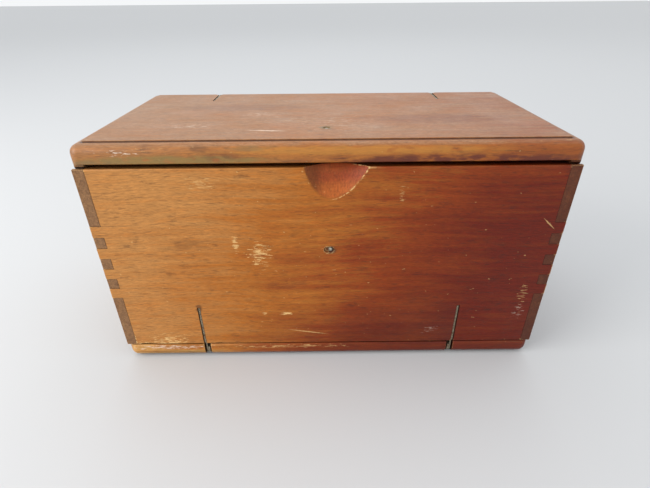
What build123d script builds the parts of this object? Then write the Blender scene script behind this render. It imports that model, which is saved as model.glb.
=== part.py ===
"""Folding wooden box: a lid, a base, a front and a back that unroll flat on six concealed blade hinges.

Each of the four sections is a board with a triangular end piece at each end. The eight end
pieces meet on the diagonals of the box's ends, so that any section can swing out of the closed box.
Every pivot lies as far from the upright outer face as from the lid's or the base's outer face, so
that the open box lies flat on its outer faces.
Units are millimetres. X runs along the box, Y from front to back, Z up; the origin is at the
centre of the underside.
"""
from build123d import *

import math
import os

# Overall sizes
LENGTH = 203.2
DEPTH = 101.6
BOARD_T = 8.4  # lid and base
PANEL_T = 6.4  # front and back
PANEL_H = 92.4
END_T = 4.8
BASE_GAP = 0.7  # base's top to the front's and back's lower edges
LID_GAP = 1.7  # front's and back's upper edges to the lid's underside
PANEL_ARRIS_R = 0.4
BOARD_ARRIS_R = 1.0  # inner long edges of lid and base, which the front and back swing past
BOARD_CORNER_R = 4.0  # upright corners of lid and base, a little more than the quarter round

# Moulding round the lid's top and the base's underside: a quarter round below a small step
OVOLO_R = 3.8
QUIRK_STEP = 0.6
QUIRK_INSET = 4.9

# Joints between the boards and their end pieces
FINGER_W = 5.4
FINGER_PITCH = 2 * FINGER_W
PANEL_FINGERS = (-1.5, -0.5, 0.5, 1.5)  # centres of the panels' fingers, in pitches
FINGER_RISE = 1.8  # of the fingers' middle above the panel's middle
TENONS = (-1, 0, 1)  # centres of the blind tenons into lid and base, in pitches
TENON_T = 2.4
TENON_L = 3.6

# Mitres where the end pieces of two sections meet
MITRE_GAP = 0.5
APEX_BLUNT = 0.7
TIP_BLUNT = 1.3

# Blade hinges: flat steel leaves on edge in saw kerfs, riveted together near the outer corner
PIVOT_IN = 3.0  # from both outer faces
LEAF_T = 0.9
KERF_W = 1.35
KERF_OFFSET = 0.12  # of the kerf's middle from the leaf's, towards the nearer end of the box
KERF_L = 23.0  # on the outer face
PANEL_KERF_D = 5.6  # at the panel's edge, from its outer face
BOARD_KERF_D = 6.6  # at the board's edge, from its outer face
PANEL_LEAF_X = 62.1
BOARD_LEAF_X = 60.9
LEAF_RECESS = 0.2  # of a leaf below the wood's surface
KERF_CLEARANCE = 0.15
EYE_R = 1.8
RIVET_R = 0.8
RIVET_CLEARANCE = 0.05
PEEN_R = 1.3
PEEN_T = 0.15
SLOT_W = 3.2  # the joint's slot in a board's edge
SLOT_D = 5.8

# Brads that hold each leaf, driven at a slant from the inner face
BRAD_R = 0.45
BRAD_SLANT = 55.0  # degrees from the face's normal
BRAD_POINT = 1.6  # of its length beyond the leaf
BRAD_L = 14.0  # before it is cut flush with the inner face
PANEL_BRADS = ((6.0, 2.8), (14.0, 2.1))  # place along the leaf from the edge, depth from the outer face
BOARD_BRADS = ((9.5, 3.2), (16.0, 2.2))

# Finger scoop in the front's upper edge: cut by an inclined cylinder
SCOOP_X = 2.4
SCOOP_DROP = 14.1  # below the front's upper edge
SCOOP_R = 20.0
SCOOP_TILT = 20.0
SCOOP_LEAN = 11.0  # its foot lies nearer the left end than its mouth

# Chips out of the front's lower edge: place, length and depth of each
CHIPS = ((-91.0, 11.0, 0.6), (-55.0, 6.0, 0.4))

# Friction latch: a bowed spring on the front bears on a keeper under the lid
SPRING_X = 1.0
SPRING_T = 0.6
SPRING_W = 9.0
SPRING_BOW = 2.8
SPRING_RIVET_RISE = 54.3  # above the front's lower edge
SPRING_TAIL = 6.0  # below its rivet
SPRING_FLAT = 10.0  # above its rivet, before it bows
SPRING_CREST_DROP = 5.0  # of the crest and the tip below the front's upper edge
SPRING_TIP_DROP = 0.5
SPRING_BEND_R = 2.0
KEEPER_X = -0.3
KEEPER_T = 0.8
KEEPER_W = 11.0
KEEPER_STANDOFF = 0.9  # behind the spring's crest
KEEPER_TAIL = 6.0  # behind its rivet
KEEPER_DROP = 6.0  # of its bend below the front's upper edge
KEEPER_LIP = (1.6, 3.0)  # of its turned-back end, along Y and down
KEEPER_BEND_R = 0.9
KEEPER_RIVET_IN = 21.6  # from the front face
LATCH_RIVET_R = 1.0
LATCH_HEAD_R = 1.9
LATCH_HEAD_T = 0.5
LATCH_DOME_R = 0.7  # round the rivets' outer ends
LATCH_SINK = 0.3  # of the rivets' outer ends below the wood's surface
HOLLOW_D = 2.0  # of the hollow round each rivet, twice its depth; it reaches below the domed end
HOLLOW_R = 2.3
CHIP_OFFSET = 1.4  # of the chip beside the front rivet's hollow, towards the left

# Fittings for the attachments
RACK = (96.0, 30.0, 16.0)
RACK_HOLES = ((3.6, 12.0), (5.0, 10.0))  # radius and depth of each row
RACK_HOLE_COUNT = 4
RACK_MARGIN = 9.0  # between the rack's ends and the space that the holes share
RACK_SCREW_IN = 5.0
RAIL = (110.0, 9.0, 12.0)
RAIL_RISE = 52.0  # of the rail's middle above the back's lower edge
RAIL_NOTCH_W = 5.0
RAIL_NOTCH_D = 5.0
RAIL_NOTCH_COUNT = 5
RAIL_NOTCH_WALL = 2.0  # left behind each notch
RAIL_MARGIN = 12.0
RAIL_SCREW_IN = 6.0
FITTING_CHAMFER = 0.8
CLIP_XS = (-52.0, 0.0, 52.0)
CLIP_T = 0.7
CLIP_W = 12.0
CLIP_R = 6.0
CLIP_MOUTH = 70.0  # degrees, open side away from the lid
CLIP_Y = 10.0
CLIP_FOOT = 7.0  # of its flat foot, along Y
SCREW_R = 1.3
SCREW_HEAD_R = 2.6
SCREW_HEAD_T = 1.4
SCREW_GRIP = 4.5  # into the board behind the fitting
SCREW_SLOT = (0.6, 0.5)  # width and depth
SCREW_HEAD_ROUND = 0.6  # of the head's thickness
RACK_SCREW_TURN = 20.0  # degrees that the slots were left at
CLIP_SCREW_TURN = 30.0

# Places that follow
FRONT_Y = -DEPTH / 2
FRONT_IN_Y = FRONT_Y + PANEL_T
END_X = LENGTH / 2
SHOULDER_X = END_X - END_T
END_MID_X = END_X - END_T / 2
PANEL_LOW = BOARD_T + BASE_GAP
PANEL_HIGH = PANEL_LOW + PANEL_H
LID_UNDER = PANEL_HIGH + LID_GAP
LID_TOP = LID_UNDER + BOARD_T
MIDDLE_Z = LID_TOP / 2
FINGERS_Z = PANEL_LOW + PANEL_H / 2 + FINGER_RISE
PIVOT_Y = FRONT_Y + PIVOT_IN
HINGE_MID_X = (PANEL_LEAF_X + BOARD_LEAF_X) / 2
MITRE_RUN = (DEPTH / 2) / (MIDDLE_Z - BOARD_T)  # the diagonals' Y over Z
MITRE_Y_GAP = MITRE_GAP / 2 * math.hypot(1, MITRE_RUN)
MITRE_Z_GAP = MITRE_Y_GAP / MITRE_RUN


# Shapes that several parts use


def block(x, y, z):
    """A box between two limits along each axis."""
    size = [high - low for low, high in (x, y, z)]
    centre = [(low + high) / 2 for low, high in (x, y, z)]
    return Pos(*centre) * Box(*size)


def rectangle(y, z):
    """A rectangle in (Y, Z) between two limits along each axis."""
    return Pos((y[0] + y[1]) / 2, (z[0] + z[1]) / 2) * Rectangle(y[1] - y[0], z[1] - z[0])


def across(profile, x, thickness):
    """A profile drawn in (Y, Z), given a thickness along X and centred on x."""
    return extrude(Plane.YZ.offset(x - thickness / 2) * profile, thickness)


def joined(shapes):
    """All the shapes of a list as one."""
    first, *others = shapes
    return first + others if others else first


def to_left(shape):
    return mirror(shape, Plane.YZ)


def both_sides(shape):
    """A right-hand shape with its left-hand mirror image."""
    return shape + to_left(shape)


def to_back(shape):
    return mirror(shape, Plane.XZ)


def to_lid(shape):
    return mirror(shape, Plane.XY.offset(MIDDLE_Z))


def screw(x, y, z, turn, thickness):
    """A slotted screw whose head rests at a point, on a fitting of the given thickness."""
    shank = Pos(0, 0, -(thickness + SCREW_GRIP) / 2) * Cylinder(SCREW_R, thickness + SCREW_GRIP)
    head = Pos(0, 0, SCREW_HEAD_T / 2) * Cylinder(SCREW_HEAD_R, SCREW_HEAD_T)
    head = fillet(head.faces().sort_by(Axis.Z)[-1].edges(), SCREW_HEAD_T * SCREW_HEAD_ROUND)
    width, depth = SCREW_SLOT
    slot = Pos(0, 0, SCREW_HEAD_T) * Box(3 * SCREW_HEAD_R, width, 2 * depth)
    return Pos(x, y, z) * Rot(*turn) * (shank + head - slot)


# Boards and panels


def round_cornered(half_x, half_y, z):
    """A block between two heights, with its upright corners rounded like the lid's and the base's."""
    low, high = z
    return Pos(0, 0, low) * extrude(RectangleRounded(2 * half_x, 2 * half_y, BOARD_CORNER_R), high - low)


def board_envelope(shrink=0.0):
    """The base's outside, or a smaller copy inside it: moulded round its underside."""
    half_x, half_y = END_X - shrink, DEPTH / 2 - shrink
    z = (QUIRK_STEP + shrink, BOARD_T)
    moulded = round_cornered(half_x, half_y, z)
    moulded = fillet(moulded.faces().sort_by(Axis.Z)[0].edges(), OVOLO_R)
    eased = block((-half_x, half_x), (-half_y, half_y), z)
    eased = fillet(eased.faces().sort_by(Axis.Z)[-1].edges().filter_by(Axis.X), BOARD_ARRIS_R)
    foot_x, foot_y = half_x - QUIRK_INSET, half_y - QUIRK_INSET
    return (moulded & eased) + block((-foot_x, foot_x), (-foot_y, foot_y), (shrink, BOARD_T / 2))


def tenons():
    """The blind tenons of the base's right-hand end piece."""
    x = (END_MID_X - TENON_T / 2, END_MID_X + TENON_T / 2)
    middles = [k * FINGER_PITCH for k in TENONS]
    return joined([block(x, (y - FINGER_W / 2, y + FINGER_W / 2), (BOARD_T - TENON_L, BOARD_T)) for y in middles])


def panel_fingers():
    """The front's fingers that reach its right-hand end."""
    middles = [FINGERS_Z + k * FINGER_PITCH for k in PANEL_FINGERS]
    return joined(
        [block((SHOULDER_X, END_X), (FRONT_Y, FRONT_IN_Y), (z - FINGER_W / 2, z + FINGER_W / 2)) for z in middles]
    )


def bare_panel():
    """The front's board with its fingers, without kerfs or scoop."""
    core = block((-SHOULDER_X, SHOULDER_X), (FRONT_Y, FRONT_IN_Y), (PANEL_LOW, PANEL_HIGH))
    return fillet(core.edges().filter_by(Axis.X), PANEL_ARRIS_R) + both_sides(panel_fingers())


def scoop():
    """The inclined cylinder that cuts the finger scoop."""
    tilt = math.radians(SCOOP_TILT)
    axis_y = FRONT_Y - SCOOP_R * math.cos(tilt)
    axis_z = PANEL_HIGH - SCOOP_DROP + SCOOP_R * math.sin(tilt)
    cutter = Pos(SCOOP_X, axis_y, axis_z) * Rot(X=-SCOOP_TILT) * Cylinder(SCOOP_R, DEPTH)
    return cutter.rotate(Axis((SCOOP_X, FRONT_Y, PANEL_HIGH), (0, 1, 0)), SCOOP_LEAN)


def chip(x, length, depth):
    """The round cutter of a chip in the front's lower edge, tapering out at both ends."""
    radius = ((length / 2) ** 2 + depth**2) / (2 * depth)
    inwards = radius - depth
    centre = (x, FRONT_Y - inwards * math.sin(math.pi / 4), PANEL_LOW - inwards * math.cos(math.pi / 4))
    return Pos(*centre) * Rot(X=45) * Cylinder(radius, PANEL_T)


# End pieces


def upright_end():
    """The front's right-hand end piece."""
    apex_y = -MITRE_Y_GAP - APEX_BLUNT
    apex_half = APEX_BLUNT / MITRE_RUN
    low_y = FRONT_Y + BASE_GAP * MITRE_RUN - MITRE_Y_GAP
    low_z = PANEL_LOW + max(0.0, MITRE_Z_GAP - BASE_GAP)
    high_y = FRONT_Y + LID_GAP * MITRE_RUN - MITRE_Y_GAP
    outline = Polygon(
        (FRONT_Y, low_z),
        (low_y, low_z),
        (apex_y, MIDDLE_Z - apex_half),
        (apex_y, MIDDLE_Z + apex_half),
        (high_y, PANEL_HIGH),
        (FRONT_Y, PANEL_HIGH),
        align=None,
    )
    return across(outline, END_MID_X, END_T) - panel_fingers()


def lying_end():
    """The base's right-hand end piece."""
    tip_y = DEPTH / 2 - TIP_BLUNT
    tip_z = BOARD_T + TIP_BLUNT / MITRE_RUN - MITRE_Z_GAP
    apex_z = MIDDLE_Z - MITRE_Z_GAP - APEX_BLUNT
    apex_half = APEX_BLUNT * MITRE_RUN
    outline = Polygon(
        (-tip_y, BOARD_T),
        (tip_y, BOARD_T),
        (tip_y, tip_z),
        (apex_half, apex_z),
        (-apex_half, apex_z),
        (-tip_y, tip_z),
        align=None,
    )
    return (across(outline, END_MID_X, END_T) & round_cornered(END_X, DEPTH / 2, (0, MIDDLE_Z))) + tenons()


# Hinges: all are drawn for the right-hand hinge at the front's lower edge


def saw_radius(depth):
    """Radius of the cut that is KERF_L long on the outer face and the given depth at the edge."""
    return (KERF_L**2 + depth**2) / (2 * depth)


def panel_cut(edge, trim=0.0):
    """The saw's cut in the front, in (Y, Z), from the panel's edge upwards."""
    radius = saw_radius(PANEL_KERF_D)
    return Pos(FRONT_Y + PANEL_KERF_D - radius, edge) * Circle(radius - trim)


def board_cut(trim=0.0):
    """The saw's cut in the base, in (Y, Z), from the front edge backwards."""
    radius = saw_radius(BOARD_KERF_D)
    return Pos(FRONT_Y, BOARD_KERF_D - radius) * Circle(radius - trim)


def panel_kerf(gap):
    edge = BOARD_T + gap
    reach = rectangle((FRONT_Y - 1, FRONT_IN_Y), (edge - 1, edge + KERF_L + 1))
    return across(panel_cut(edge) & reach, PANEL_LEAF_X + KERF_OFFSET, KERF_W)


def board_kerf():
    """The kerf in the base and the wider slot where the two leaves cross."""
    reach = rectangle((FRONT_Y - 1, FRONT_Y + KERF_L + 1), (-1, BOARD_T))
    slot = block(
        (HINGE_MID_X - SLOT_W / 2, HINGE_MID_X + SLOT_W / 2), (FRONT_Y - 1, FRONT_Y + SLOT_D), (-1, BOARD_T + 1)
    )
    return across(board_cut() & reach, BOARD_LEAF_X + KERF_OFFSET, KERF_W) + slot


def panel_leaf(gap):
    """A panel's leaf: its blade in the kerf, and a neck down to the eye in the base's edge."""
    edge = BOARD_T + gap
    reach = rectangle((FRONT_Y + LEAF_RECESS, FRONT_IN_Y), (edge + PANEL_ARRIS_R, edge + KERF_L))
    blade = panel_cut(edge, KERF_CLEARANCE) & reach
    neck = rectangle((PIVOT_Y - EYE_R, PIVOT_Y + EYE_R), (PIVOT_IN, edge + 2))
    eye = Pos(PIVOT_Y, PIVOT_IN) * Circle(EYE_R)
    bore = Pos(PIVOT_Y, PIVOT_IN) * Circle(RIVET_R + RIVET_CLEARANCE)
    return across(blade + neck + eye - bore, PANEL_LEAF_X, LEAF_T) - panel_brads(gap)


def board_leaf():
    """The base's leaf, kept inside the moulded edge."""
    reach = rectangle((FRONT_Y, FRONT_Y + KERF_L), (0, BOARD_T))
    bore = Pos(PIVOT_Y, PIVOT_IN) * Circle(RIVET_R)
    blade = across((board_cut(KERF_CLEARANCE) & reach) - bore, BOARD_LEAF_X, LEAF_T)
    return (blade & board_envelope(LEAF_RECESS)) - board_brads()


def hinge_rivet():
    """The pivot through both leaves, peened over at each end."""
    low = BOARD_LEAF_X - LEAF_T / 2
    high = PANEL_LEAF_X + LEAF_T / 2 + RIVET_CLEARANCE
    turn = Pos(0, PIVOT_Y, PIVOT_IN) * Rot(Y=90)
    shank = turn * Pos(0, 0, (low + high) / 2) * Cylinder(RIVET_R, high - low)
    peens = [turn * Pos(0, 0, x) * Cylinder(PEEN_R, PEEN_T) for x in (low - PEEN_T / 2, high + PEEN_T / 2)]
    return shank + peens


def brads(crossings, leaf_x, turn, inside):
    """Brads through a leaf, each given by the (Y, Z) point where it crosses, cut off flush."""
    middle = Pos(0, 0, BRAD_L / 2 - BRAD_POINT)
    return joined([Pos(leaf_x, y, z) * turn * middle * Cylinder(BRAD_R, BRAD_L) for y, z in crossings]) & inside


def panel_brads(gap):
    edge = BOARD_T + gap
    crossings = [(FRONT_Y + depth, edge + along) for along, depth in PANEL_BRADS]
    inside = block((0, END_X), (FRONT_Y, FRONT_IN_Y), (edge, edge + KERF_L))
    return brads(crossings, PANEL_LEAF_X, Rot(Z=BRAD_SLANT) * Rot(X=-90), inside)


def board_brads():
    crossings = [(FRONT_Y + along, depth) for along, depth in BOARD_BRADS]
    inside = block((0, END_X), (FRONT_Y, 0), (0, BOARD_T))
    return brads(crossings, BOARD_LEAF_X, Rot(Y=-BRAD_SLANT), inside)


# Latch


def strip(points, x, width, thickness, radius):
    """A bent strip of sheet metal, from the points of its middle line in (Y, Z)."""
    line = FilletPolyline(*points, radius=radius)
    return across(trace(line, thickness), x, width)


def latch_spring():
    """A flat spring on the front's inner face, bowed away from it near the top."""
    rivet_z = PANEL_LOW + SPRING_RIVET_RISE
    flat_y = FRONT_IN_Y + SPRING_T / 2
    points = (
        (flat_y, rivet_z - SPRING_TAIL),
        (flat_y, rivet_z + SPRING_FLAT),
        (flat_y + SPRING_BOW, PANEL_HIGH - SPRING_CREST_DROP),
        (flat_y + SPRING_BOW / 2, PANEL_HIGH - SPRING_TIP_DROP),
    )
    return strip(points, SPRING_X, SPRING_W, SPRING_T, SPRING_BEND_R) - latch_spring_rivet()


def latch_rivet(length):
    """A rivet that stands on its head's seat, with a domed upper end."""
    shank = Pos(0, 0, length / 2) * Cylinder(LATCH_RIVET_R, length)
    shank = fillet(shank.faces().sort_by(Axis.Z)[-1].edges(), LATCH_DOME_R)
    return shank + Pos(0, 0, -LATCH_HEAD_T / 2) * Cylinder(LATCH_HEAD_R, LATCH_HEAD_T)


def latch_spring_rivet():
    """The rivet whose end shows in the middle of the front."""
    length = PANEL_T + SPRING_T - LATCH_SINK
    return Pos(SPRING_X, FRONT_IN_Y + SPRING_T, PANEL_LOW + SPRING_RIVET_RISE) * Rot(X=90) * latch_rivet(length)


def rivet_hollow():
    """The small worn hollow round a rivet's outer end, about the surface's point, along Z."""
    return Cone(LATCH_RIVET_R, HOLLOW_R, HOLLOW_D)


def latch_keeper():
    """A bent plate under the lid; its leg hangs behind the spring's crest."""
    flat_z = LID_UNDER - KEEPER_T / 2
    leg_y = FRONT_IN_Y + SPRING_T + SPRING_BOW + KEEPER_STANDOFF + KEEPER_T / 2
    lip_y, lip_z = KEEPER_LIP
    points = (
        (FRONT_Y + KEEPER_RIVET_IN + KEEPER_TAIL, flat_z),
        (leg_y, flat_z),
        (leg_y, PANEL_HIGH - KEEPER_DROP),
        (leg_y + lip_y, PANEL_HIGH - KEEPER_DROP - lip_z),
    )
    return strip(points, KEEPER_X, KEEPER_W, KEEPER_T, KEEPER_BEND_R) - latch_keeper_rivet()


def latch_keeper_rivet():
    """The rivet whose end shows in the lid's top."""
    length = BOARD_T + KEEPER_T - LATCH_SINK
    return Pos(KEEPER_X, FRONT_Y + KEEPER_RIVET_IN, LID_UNDER - KEEPER_T) * latch_rivet(length)


# Fittings for the attachments


def rack_screws():
    """Screws at both ends of the rack, down into the base."""
    x = RACK[0] / 2 - RACK_SCREW_IN
    return both_sides(screw(x, 0, BOARD_T + RACK[2], (0, 0, RACK_SCREW_TURN), RACK[2]))


def bobbin_rack():
    """A wooden block on the base, with a row of narrow and a row of wide holes."""
    length, width, height = RACK
    rack = block((-length / 2, length / 2), (-width / 2, width / 2), (BOARD_T, BOARD_T + height))
    rack = chamfer(rack.faces().sort_by(Axis.Z)[-1].edges(), FITTING_CHAMFER)
    pitch = (length - 2 * RACK_MARGIN) / RACK_HOLE_COUNT
    for row, (radius, depth) in zip((-1, 1), RACK_HOLES):
        for k in range(RACK_HOLE_COUNT):
            x = (k - (RACK_HOLE_COUNT - 1) / 2) * pitch
            rack -= Pos(x, row * width / 4, BOARD_T + height - depth / 2) * Cylinder(radius, depth)
    return rack - rack_screws()


def rail_screws():
    """Screws at both ends of the rail, into the back."""
    x = RAIL[0] / 2 - RAIL_SCREW_IN
    return both_sides(screw(x, -FRONT_IN_Y - RAIL[1], PANEL_LOW + RAIL_RISE, (90, 0, 0), RAIL[1]))


def notched_rail():
    """A wooden rail on the back, with notches in its upper edge."""
    length, depth, height = RAIL
    middle_z = PANEL_LOW + RAIL_RISE
    y = (-FRONT_IN_Y - depth, -FRONT_IN_Y)
    rail = block((-length / 2, length / 2), y, (middle_z - height / 2, middle_z + height / 2))
    rail = chamfer(rail.faces().sort_by(Axis.Y)[0].edges(), FITTING_CHAMFER)
    pitch = (length - 2 * RAIL_MARGIN) / RAIL_NOTCH_COUNT
    for k in range(RAIL_NOTCH_COUNT):
        x = (k - (RAIL_NOTCH_COUNT - 1) / 2) * pitch
        z = (middle_z + height / 2 - RAIL_NOTCH_D, middle_z + height)
        rail -= block((x - RAIL_NOTCH_W / 2, x + RAIL_NOTCH_W / 2), (y[0] - 1, y[1] - RAIL_NOTCH_WALL), z)
    return rail - rail_screws()


def clip_screws():
    return joined([screw(x, CLIP_Y, LID_UNDER - CLIP_T, (180, 0, CLIP_SCREW_TURN), CLIP_T) for x in CLIP_XS])


def spring_clips():
    """Open rings of spring steel under the lid, one solid each."""
    middle_z = LID_UNDER - CLIP_R
    ring = Circle(CLIP_R) - Circle(CLIP_R - CLIP_T)
    half = math.radians(CLIP_MOUTH / 2)
    reach = 3 * CLIP_R
    mouth = Polygon((0, 0), (reach * math.sin(half), -reach), (-reach * math.sin(half), -reach), align=None)
    foot = rectangle((CLIP_Y - CLIP_FOOT / 2, CLIP_Y + CLIP_FOOT / 2), (LID_UNDER - CLIP_T, LID_UNDER))
    profile = Pos(CLIP_Y, middle_z) * (ring - mouth) + foot
    return joined([across(profile, x, CLIP_W) for x in CLIP_XS]) - clip_screws()


# Assembly


def sections():
    """The wood of the four sections, with every kerf, mortise, scoop and fastener's hole cut."""
    bottom_brads = both_sides(board_brads())
    kerfs = both_sides(board_kerf())
    mortises = both_sides(tenons())
    front_low = both_sides(panel_kerf(BASE_GAP)) + both_sides(panel_brads(BASE_GAP))
    front_high = to_lid(both_sides(panel_kerf(LID_GAP)) + both_sides(panel_brads(LID_GAP)))

    base = board_envelope() - mortises - kerfs - to_back(kerfs) - bottom_brads - to_back(bottom_brads)
    base -= rack_screws()

    lid = to_lid(board_envelope() - mortises - to_back(kerfs) - to_back(bottom_brads))
    lid = lid - latch_keeper_rivet() - clip_screws()
    lid -= Pos(KEEPER_X, FRONT_Y + KEEPER_RIVET_IN, LID_TOP) * rivet_hollow()

    front = bare_panel() - front_low - scoop() - latch_spring_rivet()
    front -= joined([chip(*values) for values in CHIPS])
    for x in (SPRING_X, SPRING_X - CHIP_OFFSET):
        front -= Pos(x, FRONT_Y, PANEL_LOW + SPRING_RIVET_RISE) * Rot(X=90) * rivet_hollow()

    back = to_back(bare_panel() - front_low - front_high) - rail_screws()
    return {"base_board": base, "lid_board": lid, "front_panel": front, "back_panel": back}


def end_pieces():
    upright, lying = upright_end(), lying_end()
    return {
        "front_end": upright,
        "back_end": to_back(upright),
        "base_end": lying,
        "lid_end": to_lid(lying),
    }


def hinge_pieces():
    low_leaf, high_leaf, base_leaf = panel_leaf(BASE_GAP), panel_leaf(LID_GAP), board_leaf()
    rivet = hinge_rivet()
    return {
        "front_hinge_upper_leaf": low_leaf,
        "front_hinge_base_leaf": base_leaf,
        "front_hinge_rivet": rivet,
        "back_hinge_upper_leaf": to_back(low_leaf),
        "back_hinge_base_leaf": to_back(base_leaf),
        "back_hinge_rivet": to_back(rivet),
        "lid_hinge_lower_leaf": to_lid(to_back(high_leaf)),
        "lid_hinge_lid_leaf": to_lid(to_back(base_leaf)),
        "lid_hinge_rivet": to_lid(to_back(rivet)),
    }


def grouped_brads():
    """The brads of each section, one node for each."""
    bottom = both_sides(board_brads())
    low, high = both_sides(panel_brads(BASE_GAP)), to_lid(both_sides(panel_brads(LID_GAP)))
    return {
        "base_hinge_brads": bottom + to_back(bottom),
        "front_hinge_brads": low,
        "back_hinge_brads": to_back(low + high),
        "lid_hinge_brads": to_lid(to_back(bottom)),
    }


def single_pieces():
    return {
        "latch_spring": latch_spring(),
        "latch_spring_rivet": latch_spring_rivet(),
        "latch_keeper": latch_keeper(),
        "latch_keeper_rivet": latch_keeper_rivet(),
        "bobbin_rack": bobbin_rack(),
        "bobbin_rack_screws": rack_screws(),
        "notched_rail": notched_rail(),
        "notched_rail_screws": rail_screws(),
        "lid_clips": spring_clips(),
        "lid_clip_screws": clip_screws(),
    }


nodes = sections() | grouped_brads() | single_pieces()
for name, shape in (end_pieces() | hinge_pieces()).items():
    nodes[f"{name}_right"] = shape
    nodes[f"{name}_left"] = to_left(shape)

os.makedirs("parts", exist_ok=True)
for name, shape in nodes.items():
    export_step(Compound(shape.solids()), f"parts/{name}.step")
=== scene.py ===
"""Looks of the folding wooden box: worn varnished wood, tarnished steel and a pale studio.

Lengths are in metres, in the frame of the CAD model: X along the box, its front towards -Y, Z up.
A place on a board is a share of the box's own sides, or comes from a CAD node.
"""

import math

import bpy
from mathutils import Matrix, Vector

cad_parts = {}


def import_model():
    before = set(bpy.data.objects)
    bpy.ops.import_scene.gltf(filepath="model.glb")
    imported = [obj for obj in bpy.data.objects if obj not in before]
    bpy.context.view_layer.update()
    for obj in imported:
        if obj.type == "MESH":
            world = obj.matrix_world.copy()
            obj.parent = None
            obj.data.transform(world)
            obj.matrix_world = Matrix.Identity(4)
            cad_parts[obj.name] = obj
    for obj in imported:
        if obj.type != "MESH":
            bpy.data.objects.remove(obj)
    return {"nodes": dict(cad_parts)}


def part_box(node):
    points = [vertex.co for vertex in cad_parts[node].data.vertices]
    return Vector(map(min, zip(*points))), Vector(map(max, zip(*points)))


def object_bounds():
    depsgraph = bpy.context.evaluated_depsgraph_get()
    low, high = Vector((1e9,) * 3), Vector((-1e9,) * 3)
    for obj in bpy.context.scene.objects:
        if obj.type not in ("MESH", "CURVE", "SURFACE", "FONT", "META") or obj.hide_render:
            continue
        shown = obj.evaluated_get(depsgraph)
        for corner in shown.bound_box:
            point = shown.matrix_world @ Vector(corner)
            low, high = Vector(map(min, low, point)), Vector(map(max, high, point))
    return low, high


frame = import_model()
cad_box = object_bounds()

MM = 0.001
LOW, HIGH = cad_box
PANEL_LOW, PANEL_HIGH = (corner.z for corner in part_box("front_panel"))


def srgb(red, green, blue):
    """A colour given as 0 to 255 on screen, as Blender's linear RGBA."""
    shares = [channel / 255 for channel in (red, green, blue)]
    linear = [c / 12.92 if c <= 0.04045 else ((c + 0.055) / 1.055) ** 2.4 for c in shares]
    return (*linear, 1.0)


# Shader graph


class Shader:
    """A material's node tree, with a short method for each kind of node that it uses."""

    def __init__(self, name):
        self.material = bpy.data.materials.new(name)
        self.material.use_nodes = True
        self.tree = self.material.node_tree
        self.tree.nodes.clear()
        self.surface = self.node("ShaderNodeBsdfPrincipled")
        self.node("ShaderNodeOutputMaterial", {"Surface": self.surface.outputs[0]})
        self.place = self.node("ShaderNodeTexCoord").outputs["Object"]

    def feed(self, socket, value):
        if isinstance(value, bpy.types.NodeSocket):
            self.tree.links.new(value, socket)
        else:
            socket.default_value = value

    def node(self, kind, inputs=None, **settings):
        node = self.tree.nodes.new(kind)
        for key, value in settings.items():
            setattr(node, key, value)
        for key, value in (inputs or {}).items():
            self.feed(node.inputs[key], value)
        return node

    def maths(self, operation, *values, clamp=False):
        inputs = dict(enumerate(values))
        return self.node("ShaderNodeMath", inputs, operation=operation, use_clamp=clamp).outputs[0]

    def held(self, value):
        """A number held between 0 and 1."""
        return self.maths("ADD", value, 0.0, clamp=True)

    def vector(self, operation, *values):
        node = self.node("ShaderNodeVectorMath", dict(enumerate(values)), operation=operation)
        return node.outputs["Value" if operation in ("DOT_PRODUCT", "LENGTH") else "Vector"]

    def noise(self, scale, place=None, detail=2.0, roughness=0.5, seed=0.0):
        """Noise from 0 to 1. A scale of three numbers is features a metre along each axis."""
        at = self.vector("MULTIPLY", place or self.place, scale)
        at = self.vector("ADD", at, (seed, seed * 1.7, seed * 2.3))
        inputs = {"Vector": at, "Scale": 1.0, "Detail": detail, "Roughness": roughness}
        return self.node("ShaderNodeTexNoise", inputs).outputs["Fac"]

    def ramp(self, value, start, end):
        """0 below start and 1 above end, smooth between; start may be the larger."""
        inputs = {"Value": value, "From Min": start, "From Max": end}
        return self.node("ShaderNodeMapRange", inputs, interpolation_type="SMOOTHSTEP").outputs[0]

    def mix(self, factor, first, second, blend="MIX"):
        node = self.node("ShaderNodeMix", data_type="RGBA", blend_type=blend)
        for index, value in ((0, factor), (6, first), (7, second)):
            self.feed(node.inputs[index], value)
        return node.outputs[2]

    def split(self, vector=None):
        return self.node("ShaderNodeSeparateXYZ", {0: vector or self.place}).outputs

    def normal_part(self, axis):
        """The part of a face's normal along an axis, from -1 to 1."""
        return self.split(self.node("ShaderNodeTexCoord").outputs["Normal"])[axis]

    def flatness(self, radius):
        """1 on flat faces, falling towards edges and corners over the radius."""
        rounded = self.node("ShaderNodeBevel", {"Radius": radius}, samples=8).outputs[0]
        true = self.node("ShaderNodeNewGeometry").outputs["Normal"]
        return self.vector("DOT_PRODUCT", rounded, true)

    def recesses(self, distance, start, end):
        """1 where less than end of the sky is open within the distance, 0 where more than start is."""
        node = self.node("ShaderNodeAmbientOcclusion", {"Distance": distance}, samples=6)
        return self.ramp(node.outputs["AO"], start, end)

    def shade(self, colour, tone):
        """A colour made darker or lighter by a number."""
        grey = self.node("ShaderNodeCombineColor", {0: tone, 1: tone, 2: tone}).outputs[0]
        return self.mix(1.0, colour, grey, "MULTIPLY")

    def bump(self, height, distance, strength=1.0, normal=None):
        inputs = {"Height": height, "Distance": distance, "Strength": strength}
        if normal:
            inputs["Normal"] = normal
        return self.node("ShaderNodeBump", inputs).outputs[0]

    def finish(self, **values):
        """Feeds the principled shader's sockets, named in words with underscores."""
        for key, value in values.items():
            self.feed(self.surface.inputs[key.replace("_", " ").title().replace("Ior", "IOR")], value)
        return self.material


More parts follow.
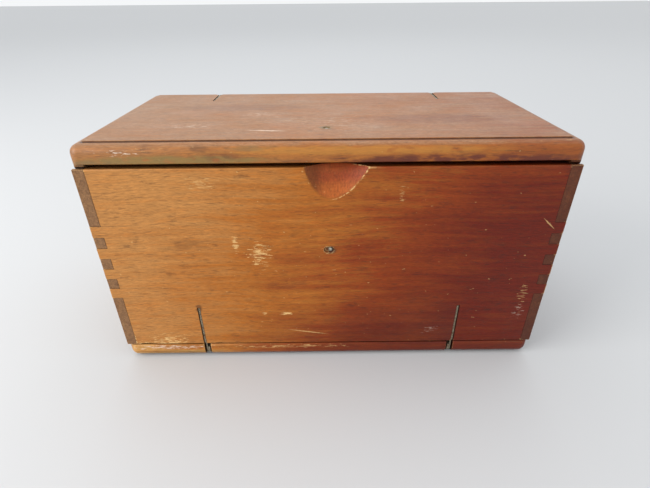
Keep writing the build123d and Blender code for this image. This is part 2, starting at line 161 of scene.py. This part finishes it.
# Wear, and some painted light. A mark takes a wood's shader and its colour, and returns the colour with the
# mark laid over it. carved is a mark, and scuff, scratch, rubbed, stained, faded and grimy_step each make
# one;
# carved also paints shade in the scoop, faded paints a sheen on faces that look up, and a few
# stains paint highlight and shade on the lid's rim and round the front rivet. A
# place is given as shares of the box: along it from the left end, then up the front from the table
# or back over the lid


def share_of(node, side="z", top=False):
    """Where a CAD node's middle or upper end is, as shares of the box along it and along a side."""
    low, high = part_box(node)
    at = high if top else (low + high) / 2
    along = ((low + high) / 2 - LOW).x / (HIGH - LOW).x
    return along, getattr(at - LOW, side) / getattr(HIGH - LOW, side)


def facing(s, axis, sign):
    """1 on faces that look along an axis, such as -Y for the front."""
    return s.ramp(s.maths("MULTIPLY", s.normal_part(axis), sign), 0.6, 0.85)


def on_front(s, along, up):
    """A point of the front, where the front shows, and the axes along it."""
    place = Vector((LOW.x + along * (HIGH.x - LOW.x), LOW.y, up * HIGH.z))
    return place, facing(s, "Y", -1), Vector((1, 0, 1))


def on_lid(s, along, back):
    """A point of the lid's top, where that shows, and the axes along it."""
    place = Vector((LOW.x + along * (HIGH.x - LOW.x), LOW.y + back * (HIGH.y - LOW.y), HIGH.z))
    return place, facing(s, "Z", 1), Vector((1, 1, 0))


def near(s, centre, half_sizes):
    """1 at a point and 0 outside the ellipsoid of the given half sizes."""
    offset = s.vector("SUBTRACT", s.place, tuple(centre))
    offset = s.vector("MULTIPLY", offset, tuple(1 / (half * MM) for half in half_sizes))
    return s.ramp(s.vector("LENGTH", offset), 1.0, 0.0)


def scuff(face, at, half_sizes, tone, strength=0.8, density=0.0):
    """A scatter of short broken flecks along the grain, densest in its middle."""

    def mark(s, colour):
        middle, shown, _ = face(s, *at)
        length, height = half_sizes
        inside = s.maths("MULTIPLY", near(s, middle, (length, height, height)), shown)
        flecks = s.noise((300, 1900, 1900), detail=3.0, roughness=0.7, seed=10 * at[0])
        share = s.ramp(s.maths("MULTIPLY_ADD", inside, 0.20 + density, flecks), 0.68, 0.76)
        share = s.maths("MULTIPLY", share, s.ramp(inside, 0.0, 0.2))
        return s.mix(s.maths("MULTIPLY", share, strength), colour, tone)

    return mark


def scratch(face, start, end, width, tone, strength=0.7):
    """A thin broken scratch, tapering out at both ends."""

    def mark(s, colour):
        low, shown, plane = face(s, *start)
        run = face(s, *end)[0] - low
        flat = s.vector("MULTIPLY", s.vector("SUBTRACT", s.place, tuple(low)), tuple(plane))
        along = s.held(s.vector("DOT_PRODUCT", flat, tuple(run / run.length_squared)))
        foot = s.node("ShaderNodeVectorMath", {0: tuple(run), "Scale": along}, operation="SCALE").outputs[0]
        away = s.vector("LENGTH", s.vector("SUBTRACT", flat, foot))
        ragged = s.noise((1100, 1100, 1100), detail=2.0, seed=10 * start[0])
        taper = s.maths("SINE", s.maths("MULTIPLY", along, math.pi))
        reach = s.maths("MULTIPLY", s.maths("MULTIPLY", taper, ragged), width * MM)
        share = s.ramp(s.maths("SUBTRACT", away, reach), 0.10 * MM, -0.15 * MM)
        share = s.maths("MULTIPLY", share, shown)
        return s.mix(s.maths("MULTIPLY", share, strength), colour, tone)

    return mark


def rubbed(face, at, half_sizes, tone, strength=0.9):
    """Bare wood on the edges round a point, shallow ones included."""

    def mark(s, colour):
        middle = face(s, *at)[0]
        broken = s.ramp(s.noise((800, 800, 800), detail=3.0, seed=3.0), 0.36, 0.52)
        reach = s.ramp(near(s, middle, half_sizes), 0.0, 0.35)
        share = s.maths("MULTIPLY", s.maths("MULTIPLY", s.ramp(s.flat, 0.997, 0.985), broken), reach)
        return s.mix(s.maths("MULTIPLY", share, strength), colour, tone)

    return mark


def stain_and_painted_light(face, at, half_sizes, tone, strength=0.5):
    """A soft-edged stain, also used to lay painted highlight and painted shade."""

    def mark(s, colour):
        uneven = s.noise((160, 420, 420), detail=4.0, seed=10 * at[0])
        share = s.maths("MULTIPLY", near(s, face(s, *at)[0], half_sizes), s.ramp(uneven, 0.25, 0.6))
        return s.mix(s.maths("MULTIPLY", s.ramp(share, 0.0, 0.6), strength), colour, tone)

    return mark


def dust_and_painted_sheen(tone, strength):
    """Dust and bleached varnish on faces that look up, thicker along some streaks, and a painted sheen:
    the pale veil stands in for the varnish's glancing reflection of the bright surroundings.
    """

    def mark(s, colour):
        cloud = s.ramp(s.noise((26, 420, 420), detail=5.0, roughness=0.75, seed=61.0), 0.30, 0.66)
        patches = s.ramp(s.noise((30, 60, 60), detail=3.0, seed=67.0), 0.35, 0.65)
        # Painted sheen: the pale veil is laid only on faces that look up
        share = s.maths("MULTIPLY", facing(s, "Z", 1), s.maths("MULTIPLY_ADD", patches, 0.4, cloud))
        weave = s.noise((500, 1300, 1300), detail=4.0, roughness=0.8, seed=71.0)
        dust_and_sheen = s.shade(tone, s.maths("MULTIPLY_ADD", weave, 3.0, -0.55))
        return s.mix(s.maths("MULTIPLY", share, strength), colour, dust_and_sheen)

    return mark


def grimy_step(level):
    """Dirt along the foot of the step inside the moulding, at the lid's or the base's outer face."""
    inside_moulding = (3.6 * MM, 4.3 * MM)
    under_face = (0.02 * MM, 0.30 * MM)
    above_moulding = (1.2 * MM, 0.9 * MM)

    def mark(s, colour):
        x, y, z = s.split()
        inset_x = s.maths("SUBTRACT", HIGH.x, s.maths("ABSOLUTE", x))
        inset = s.maths("MINIMUM", inset_x, s.maths("SUBTRACT", HIGH.y, s.maths("ABSOLUTE", y)))
        below = s.maths("ABSOLUTE", s.maths("SUBTRACT", z, level))
        share = s.maths("MULTIPLY", s.ramp(inset, *inside_moulding), s.ramp(below, *under_face))
        share = s.maths("MULTIPLY", share, s.ramp(below, *above_moulding))
        return s.mix(s.maths("MULTIPLY", share, 0.75), colour, GRIME)

    return mark


def carved(s, colour):
    """The bared and redder wood inside the finger scoop, with marks of the cutter down it, and painted shade
    on its left wall.
    """
    bottom = (16 * MM, 14 * MM)
    lower_part = (3 * MM, 11 * MM)
    painted_shade_left = (-6 * MM, -1 * MM)
    x, y, z = s.split()
    below_edge = s.maths("SUBTRACT", PANEL_HIGH, z)
    cut = s.ramp(y, LOW.y + 0.05 * MM, LOW.y + 0.5 * MM)
    cut = s.maths("MULTIPLY", cut, s.ramp(below_edge, *bottom))
    cut = s.maths("MULTIPLY", cut, s.ramp(s.normal_part("Y"), -0.05, -0.2))
    lines = s.noise((1500, 1500, 90), detail=3.0, roughness=0.7, seed=81.0)
    warm = s.mix(s.ramp(below_edge, *lower_part), srgb(146, 54, 30), srgb(176, 88, 36))
    tone = s.shade(warm, s.maths("MULTIPLY", lines, 2.0))
    # Painted shade: the scoop's left wall, which faces away from the light, made darker
    tone = s.shade(tone, s.maths("MULTIPLY_ADD", s.ramp(x, *painted_shade_left), 0.60, 0.40))
    return s.mix(s.maths("MULTIPLY", cut, 0.65), colour, tone)


PALE = srgb(232, 192, 128)
CHALK = srgb(236, 216, 196)
SOOT = srgb(52, 30, 22)
GRIME = srgb(60, 26, 16)
OLIVE = srgb(120, 98, 58)
MOSS = srgb(132, 112, 58)
OCHRE = srgb(188, 128, 48)
MAROON = srgb(84, 26, 20)

FRONT_RIVET = share_of("latch_spring_rivet")
LID_RIVET = share_of("latch_keeper_rivet", "y")
KERF_END = share_of("front_hinge_upper_leaf_left", top=True)
FRONT_WEAR = (
    carved,
    scuff(on_front, (0.35, 0.55), (9, 13), PALE, 0.8, 0.02),
    scuff(on_front, (0.30, 0.60), (3, 8), PALE, 0.7, 0.02),
    scuff(on_front, (0.40, 0.25), (5, 2.2), PALE, 0.9, 0.08),
    scuff(on_front, (0.35, 0.25), (3, 1.5), PALE, 0.7, 0.04),
    scuff(on_front, (0.10, 0.10), (20, 8), PALE, 0.8),
    scuff(on_front, (0.25, 0.85), (14, 5), PALE, 0.5, -0.02),
    scuff(on_front, (0.65, 0.80), (2.5, 7), PALE, 0.35),
    scuff(on_front, (0.95, 0.35), (4, 12), PALE, 0.5, -0.02),
    scuff(on_front, (0.95, 0.25), (5, 7), CHALK, 0.35, -0.03),
    scuff(on_front, (0.75, 0.15), (9, 4), CHALK, 0.25, -0.03),
    scratch(on_front, (0.40, 0.16), (0.50, 0.13), 0.6, PALE, 0.6),
    scratch(on_front, (0.95, 0.70), (0.98, 0.65), 0.6, PALE, 0.5),
    rubbed(on_front, (0.55, 0.85), (15, 6, 15), PALE),
    rubbed(on_front, (0.05, 0.10), (24, 5, 5), PALE, 1.0),
    rubbed(on_front, FRONT_RIVET, (4, 3, 4), PALE, 0.7),
    # Darker round the front rivet: partly dirt, partly painted shade round its head
    stain_and_painted_light(on_front, FRONT_RIVET, (4, 3, 3), SOOT, 0.7),
    stain_and_painted_light(on_front, KERF_END, (2.5, 4, 4), SOOT, 0.6),
    stain_and_painted_light(on_front, (0.20, 0.60), (12, 4, 5), SOOT, 0.22),
    stain_and_painted_light(on_front, (0.40, 0.40), (14, 4, 4), MAROON, 0.22),
)
LID_WEAR = (
    # Dust and a painted sheen over the lid's top
    dust_and_painted_sheen(srgb(162, 128, 98), 0.46),
    grimy_step(HIGH.z),
    stain_and_painted_light(on_front, (0.20, 0.94), (60, 6, 3.0), MOSS, 0.7),
    # Along the rim, the ochre band high up and the maroon one low down are partly the wood's colour, partly a
    # painted highlight on the rounded top and painted shade on the face below it
    stain_and_painted_light(on_front, (0.55, 0.97), (90, 6, 2.6), OCHRE, 0.5),
    stain_and_painted_light(on_front, (0.75, 0.93), (95, 6, 4.2), MAROON, 0.8),
    stain_and_painted_light(on_front, (0.30, 0.95), (12, 5, 3.0), MAROON, 0.35),
    stain_and_painted_light(on_front, (0.05, 0.93), (14, 6, 2.5), OLIVE, 0.6),
    stain_and_painted_light(on_front, (0.25, 0.98), (7, 5, 2.0), SOOT, 0.4),
    stain_and_painted_light(on_front, (0.15, 0.99), (5, 4, 2.0), SOOT, 0.35),
    stain_and_painted_light(on_front, (0.35, 0.98), (14, 4, 1.6), OLIVE, 0.5),
    scuff(on_front, (0.10, 0.97), (16, 3), CHALK, 0.6, -0.04),
    scuff(on_front, (0.15, 0.98), (16, 2), PALE, 0.5, -0.04),
    scuff(on_lid, (0.20, 0.25), (22, 8), CHALK, 0.4),
    scuff(on_lid, (0.35, 0.45), (22, 10), CHALK, 0.35),
    scuff(on_lid, (0.50, 0.30), (70, 30), CHALK, 0.35, -0.08),
    scratch(on_lid, (0.33, 0.18), (0.42, 0.16), 1.0, CHALK, 0.8),
    stain_and_painted_light(on_lid, (0.30, 0.60), (50, 12, 4), MAROON, 0.25),
    stain_and_painted_light(on_lid, (0.75, 0.35), (50, 14, 4), MAROON, 0.30),
    stain_and_painted_light(on_lid, LID_RIVET, (5, 4, 3), OLIVE, 0.9),
)
BASE_WEAR = (
    grimy_step(LOW.z),
    stain_and_painted_light(on_front, (0.15, 0.03), (45, 6, 2.0), OLIVE, 0.4),
    scuff(on_front, (0.10, 0.06), (40, 2.5), CHALK, 0.7, 0.03),
    scuff(on_front, (0.40, 0.06), (60, 2.2), PALE, 0.6),
    rubbed(on_front, (0.10, 0.07), (50, 5, 4), PALE, 0.6),
)


# Wood

END_GRAIN = srgb(66, 34, 22)
# Dark colour for painted shade in recesses and for dirt along the joints
DEEP_SHADE_AND_DIRT = srgb(40, 15, 9)
FADE_LEAN = 0.35  # the golden part reaches further along the box higher up


def per_axis(grain, along, across):
    """A scale with one number along the grain's axis and another across it."""
    scale = [across] * 3
    scale["XYZ".index(grain)] = along
    return tuple(scale)


def tone_ramp(s, depth, tones):
    """A colour picked from evenly spaced tones by a number from 0 to 1."""
    ramp = s.node("ShaderNodeValToRGB", {"Fac": depth})
    stops = ramp.color_ramp.elements
    stops[0].color, stops[-1].color = tones[0], tones[-1]
    for index in range(1, len(tones) - 1):
        stops.new(index / (len(tones) - 1)).color = tones[index]
    return ramp.outputs["Color"]


def outer_arris(s):
    """1 on the outer edges of the upright boards and of their end pieces, 0 at the joints between them."""
    middle = (0.0, 0.0, (PANEL_LOW + PANEL_HIGH) / 2)
    half_sizes = (HIGH.x, HIGH.y, (PANEL_HIGH - PANEL_LOW) / 2)
    away = s.split(s.vector("ABSOLUTE", s.vector("SUBTRACT", s.place, middle)))
    close = []
    for axis, half in zip("XYZ", half_sizes):
        gap = s.maths("ABSOLUTE", s.maths("SUBTRACT", away[axis], half))
        close.append(s.ramp(gap, 1.4 * MM, 0.7 * MM))
    pairs = [s.maths("MULTIPLY", close[k], close[k - 1]) for k in range(3)]
    return s.maths("MAXIMUM", s.maths("MAXIMUM", *pairs[:2]), pairs[2])


def wood(
    name, tones, grain="X", fade=(-0.125, 0.08), seed=0.0, gloss=0.25, cut_dark=0.45, jointed=False, wear=()
):
    """Old varnished hardwood: golden at the box's left end, and redder and darker at its right, partly its
    own colour and partly painted light falling from the left.

    fade is where along the box its tones start and end, and cut_dark is how much darker its end
    grain is. A jointed board is one of the upright ones, whose inner edges are joints.
    """
    s = Shader(name)
    wander = s.noise((14, 14, 14), seed=seed, detail=1.0)
    shift = s.maths("MULTIPLY_ADD", wander, 6 * MM, -3 * MM)
    offset = s.node("ShaderNodeCombineXYZ", {0: shift, 1: shift, 2: shift}).outputs[0]
    place = s.vector("ADD", s.place, offset)
    figure = s.noise(per_axis(grain, 7, 60), place, detail=2.0, seed=seed + 3)
    streaks = s.noise(per_axis(grain, 18, 330), place, detail=3.0, roughness=0.6, seed=seed)
    lines = s.noise(per_axis(grain, 120, 1300), place, detail=3.0, roughness=0.65, seed=seed + 7)
    pores = s.ramp(s.noise(per_axis(grain, 190, 1900), place, detail=2.0, seed=seed + 11), 0.58, 0.70)
    fibres = s.noise(per_axis(grain, 380, 2600), place, detail=2.0, roughness=0.7, seed=seed + 43)
    blotches = s.noise((34, 34, 34), place, detail=3.0, roughness=0.6, seed=seed + 19)

    # Golden to red along the box: partly the wood's colour, partly painted light brighter at the left end
    drift = s.noise((16, 60, 60), detail=3.0, roughness=0.6, seed=seed + 61)
    across = s.maths("MULTIPLY_ADD", s.split()["Z"], -FADE_LEAN, s.split()["X"])
    depth = s.ramp(s.maths("MULTIPLY_ADD", s.maths("SUBTRACT", drift, 0.5), 0.08, across), *fade)
    for part, share in ((streaks, 0.55), (figure, 0.28), (blotches, 0.30), (lines, 0.40)):
        depth = s.maths("ADD", depth, s.maths("MULTIPLY_ADD", part, share, -share / 2))
    colour = tone_ramp(s, s.held(depth), tones)
    colour = s.shade(colour, s.maths("MULTIPLY_ADD", lines, 0.85, 0.58))
    colour = s.shade(colour, s.maths("MULTIPLY_ADD", fibres, 0.90, 0.56))
    colour = s.mix(s.maths("MULTIPLY", pores, 0.36), colour, SOOT)
    dirt = s.ramp(s.noise((110, 260, 260), detail=4.0, roughness=0.7, seed=seed + 23), 0.58, 0.76)
    colour = s.mix(s.maths("MULTIPLY", dirt, 0.42), colour, SOOT)
    flecks = s.ramp(s.noise((450, 700, 700), detail=2.0, seed=seed + 31), 0.71, 0.77)
    colour = s.mix(s.maths("MULTIPLY", flecks, 0.35), colour, PALE)

    # End grain is darker and mottled
    cut = s.ramp(s.maths("ABSOLUTE", s.normal_part(grain)), 0.6, 0.9)
    mottle = s.ramp(s.noise((900, 900, 900), detail=4.0, roughness=0.7, seed=seed + 37), 0.35, 0.65)
    cut_share = s.maths("MULTIPLY", cut, s.maths("MULTIPLY_ADD", mottle, 0.35, cut_dark))
    colour = s.mix(cut_share, colour, END_GRAIN)

    # Painted shade darkening gaps and recesses, found by ambient occlusion, dark dirt along the joints,
    # and bare wood where outer edges are rubbed. The shader keeps flat, which rubbed uses too
    s.flat = s.flatness(0.8 * MM)
    sharp = s.ramp(s.flat, 0.995, 0.80)
    gap = s.maths("MAXIMUM", s.recesses(4 * MM, 0.70, 0.10), s.recesses(0.8 * MM, 0.90, 0.50))
    arris = outer_arris(s) if jointed else 1.0
    chance = s.ramp(s.noise((260, 260, 260), detail=4.0, roughness=0.7, seed=seed + 29), 0.36, 0.60)
    clean = s.maths("SUBTRACT", chance, gap, clamp=True)
    worn = s.maths("MULTIPLY", s.maths("MULTIPLY", sharp, arris), clean)
    colour = s.mix(s.maths("MULTIPLY", worn, 0.7), colour, PALE)
    if jointed:
        line = s.maths("MULTIPLY", s.ramp(s.flat, 0.90, 0.76), s.maths("SUBTRACT", 1.0, arris))
        gap = s.maths("MAXIMUM", gap, s.maths("MULTIPLY", line, 0.7))
    # Painted shade in the recesses and dirt along the joints, laid in one dark colour
    colour = s.mix(s.maths("MULTIPLY", gap, 0.85), colour, DEEP_SHADE_AND_DIRT)
    for mark in wear:
        colour = mark(s, colour)

    sheen = s.noise((60, 60, 60), detail=3.0, seed=seed + 41)
    roughness = s.maths("ADD", s.maths("MULTIPLY_ADD", sheen, 0.30, 0.28), s.maths("MULTIPLY", worn, 0.3))
    dents = s.noise((150, 150, 150), detail=2.0, seed=seed + 53)
    normal = s.bump(dents, 0.45 * MM, 0.35)
    normal = s.bump(s.maths("MULTIPLY_ADD", pores, -0.6, lines), 0.08 * MM, 0.6, normal)
    return s.finish(base_color=colour, roughness=roughness, normal=normal, specular_ior_level=gloss)


# Steel


def steel(name, bright, tarnish, rust=0.35, roughness=0.42, seed=0.0):
    """Old steel with brown tarnish in patches."""
    s = Shader(name)
    patches = s.noise((420, 420, 420), detail=5.0, roughness=0.65, seed=seed)
    fine = s.noise((2600, 2600, 2600), detail=2.0, seed=seed + 5)
    brown = s.ramp(patches, 0.62 - rust * 0.4, 0.75 - rust * 0.3)
    colour = s.mix(s.ramp(fine, 0.35, 0.7), tarnish, bright)
    colour = s.mix(s.maths("MULTIPLY", brown, 0.8), colour, srgb(86, 52, 30))
    dull = s.maths("MULTIPLY_ADD", brown, 0.35, roughness)
    return s.finish(
        base_color=colour,
        metallic=s.maths("MULTIPLY_ADD", brown, -0.5, 0.75),
        roughness=dull,
        normal=s.bump(s.maths("ADD", fine, patches), 0.05 * MM, 0.5),
    )


# Each wood's tones, from the box's left end to its right: partly the wood's colour, partly painted light that
# is brighter at the left end
GOLDEN = (srgb(184, 126, 66), srgb(168, 98, 32), srgb(132, 54, 11), srgb(98, 25, 6))
MOULDED = (srgb(156, 102, 52), srgb(164, 98, 34), srgb(152, 82, 18), srgb(126, 54, 12))
# FOOT's pale first tone is partly a painted reflection of the bright surroundings on the base's front edge
FOOT = (srgb(228, 184, 110), srgb(172, 106, 42), srgb(134, 60, 18), srgb(102, 34, 14))
GREYED = (srgb(152, 112, 74), srgb(132, 90, 56), srgb(110, 62, 36), srgb(88, 40, 22))
BARE = (srgb(212, 170, 118), srgb(196, 148, 96), srgb(176, 124, 78))

FRONT_WOOD = wood("front_wood", GOLDEN, seed=1.0, jointed=True, wear=FRONT_WEAR)
BACK_WOOD = wood("back_wood", GOLDEN, fade=(-0.18, 0.18), seed=3.0, jointed=True)
LID_WOOD = wood("lid_wood", MOULDED, fade=(-0.16, 0.16), seed=5.0, gloss=0.45, wear=LID_WEAR)
BASE_WOOD = wood("base_wood", FOOT, fade=(-0.15, 0.06), seed=7.0, wear=BASE_WEAR)
UPRIGHT_END_WOOD = wood("upright_end_wood", GREYED, "Y", (-0.10, 0.12), seed=9.0, cut_dark=0.12, jointed=True)
LYING_END_WOOD = wood("lying_end_wood", GREYED, "Z", (-0.10, 0.12), seed=13.0)
FITTING_WOOD = wood("fitting_wood", BARE, fade=(-0.2, 0.2), seed=17.0, gloss=0.2, cut_dark=0.12)
HINGE_STEEL = steel("hinge_steel", srgb(168, 158, 136), srgb(112, 102, 82), seed=2.0)
SPRING_STEEL = steel("spring_steel", srgb(214, 208, 194), srgb(140, 132, 118), rust=0.15, seed=3.0)
SCREW_STEEL = steel("screw_steel", srgb(176, 168, 152), srgb(104, 96, 84), rust=0.3, seed=4.0)


# Finishes on the CAD nodes

WOOD_EDGE = 0.25 * MM
STEEL_EDGE = 0.08 * MM
BOARDS = {"front_panel": FRONT_WOOD, "back_panel": BACK_WOOD, "lid_board": LID_WOOD, "base_board": BASE_WOOD}


def material_of(node):
    """The finish of a CAD node, from its name."""
    if node in BOARDS:
        return BOARDS[node]
    if node.startswith(("front_end", "back_end")):
        return UPRIGHT_END_WOOD
    if "_end_" in node:
        return LYING_END_WOOD
    if node in ("bobbin_rack", "notched_rail"):
        return FITTING_WOOD
    if "screw" in node:
        return SCREW_STEEL
    return SPRING_STEEL if node.startswith("latch") or node == "lid_clips" else HINGE_STEEL


def soften(piece, width, clamped):
    """Joins the CAD mesh's flat faces and rounds its sharp edges slightly.

    A clamped bevel is everywhere as narrow as its narrowest place. That is only wanted on the front,
    whose thinnest edges would bulge otherwise.
    """
    weld = piece.modifiers.new("weld", "WELD")
    weld.merge_threshold = 0.002 * MM
    flat = piece.modifiers.new("flat", "DECIMATE")
    flat.decimate_type = "DISSOLVE"
    flat.angle_limit = math.radians(1.0)
    bevel = piece.modifiers.new("bevel", "BEVEL")
    bevel.width = width
    bevel.segments = 2
    bevel.limit_method = "ANGLE"
    bevel.angle_limit = math.radians(35)
    bevel.use_clamp_overlap = clamped
    bevel.harden_normals = True


for name, piece in frame["nodes"].items():
    material = material_of(name)
    piece.data.materials.clear()
    piece.data.materials.append(material)
    soften(piece, WOOD_EDGE if "wood" in material.name else STEEL_EDGE, name == "front_panel")


# Studio


def area_light(name, place, target, size, power, colour=(1, 1, 1)):
    light = bpy.data.lights.new(name, "AREA")
    light.size = size
    light.energy = power
    light.color = colour
    lamp = bpy.data.objects.new(name, light)
    lamp.location = place
    lamp.rotation_mode = "QUATERNION"
    lamp.rotation_quaternion = (Vector(target) - Vector(place)).to_track_quat("-Z", "Y")
    bpy.context.scene.collection.objects.link(lamp)


def floor():
    size = 20.0
    mesh = bpy.data.meshes.new("floor")
    corners = [(-size, -size, 0), (size, -size, 0), (size, size, 0), (-size, size, 0)]
    mesh.from_pydata(corners, [], [(0, 1, 2, 3)])
    plane = bpy.data.objects.new("floor", mesh)
    bpy.context.scene.collection.objects.link(plane)
    s = Shader("floor")
    mesh.materials.append(s.finish(base_color=(0.62, 0.63, 0.64, 1.0), roughness=0.8))


def camera():
    """A short wide-angle lens close to the box, looking down on it."""
    distance, height, sideways = 159 * MM, 159 * MM, -2 * MM
    down, turned, rolled = map(math.radians, (30.2, 0.2, -0.5))
    ahead = Vector((math.sin(turned) * math.cos(down), math.cos(turned) * math.cos(down), -math.sin(down)))
    level = Vector((math.cos(turned), -math.sin(turned), 0.0))
    above = level.cross(ahead)
    right = level * math.cos(rolled) + above * math.sin(rolled)
    up = above * math.cos(rolled) - level * math.sin(rolled)
    data = bpy.data.cameras.new("camera")
    data.sensor_width = 36.0
    data.lens = 23.3
    data.clip_start = 0.01
    seen = bpy.data.objects.new("camera", data)
    seen.matrix_world = Matrix.Translation((sideways, LOW.y - distance, height)) @ Matrix(
        (right, up, -ahead)
    ).transposed().to_4x4()
    bpy.context.scene.collection.objects.link(seen)
    bpy.context.scene.camera = seen


def world():
    sky = bpy.data.worlds.new("studio")
    sky.use_nodes = True
    background = sky.node_tree.nodes["Background"]
    background.inputs["Color"].default_value = (0.97, 0.985, 1.0, 1.0)
    background.inputs["Strength"].default_value = 0.95
    bpy.context.scene.world = sky
    bpy.context.scene.view_settings.view_transform = "Standard"


floor()
world()
camera()
area_light("window", (-0.80, -0.40, 0.45), (0, 0, 0.05), 0.6, 6.0, (1.0, 0.98, 0.95))
area_light("ceiling", (-0.2, 0.8, 1.6), (0, 0, 0.06), 1.8, 5.0, (0.98, 0.99, 1.0))
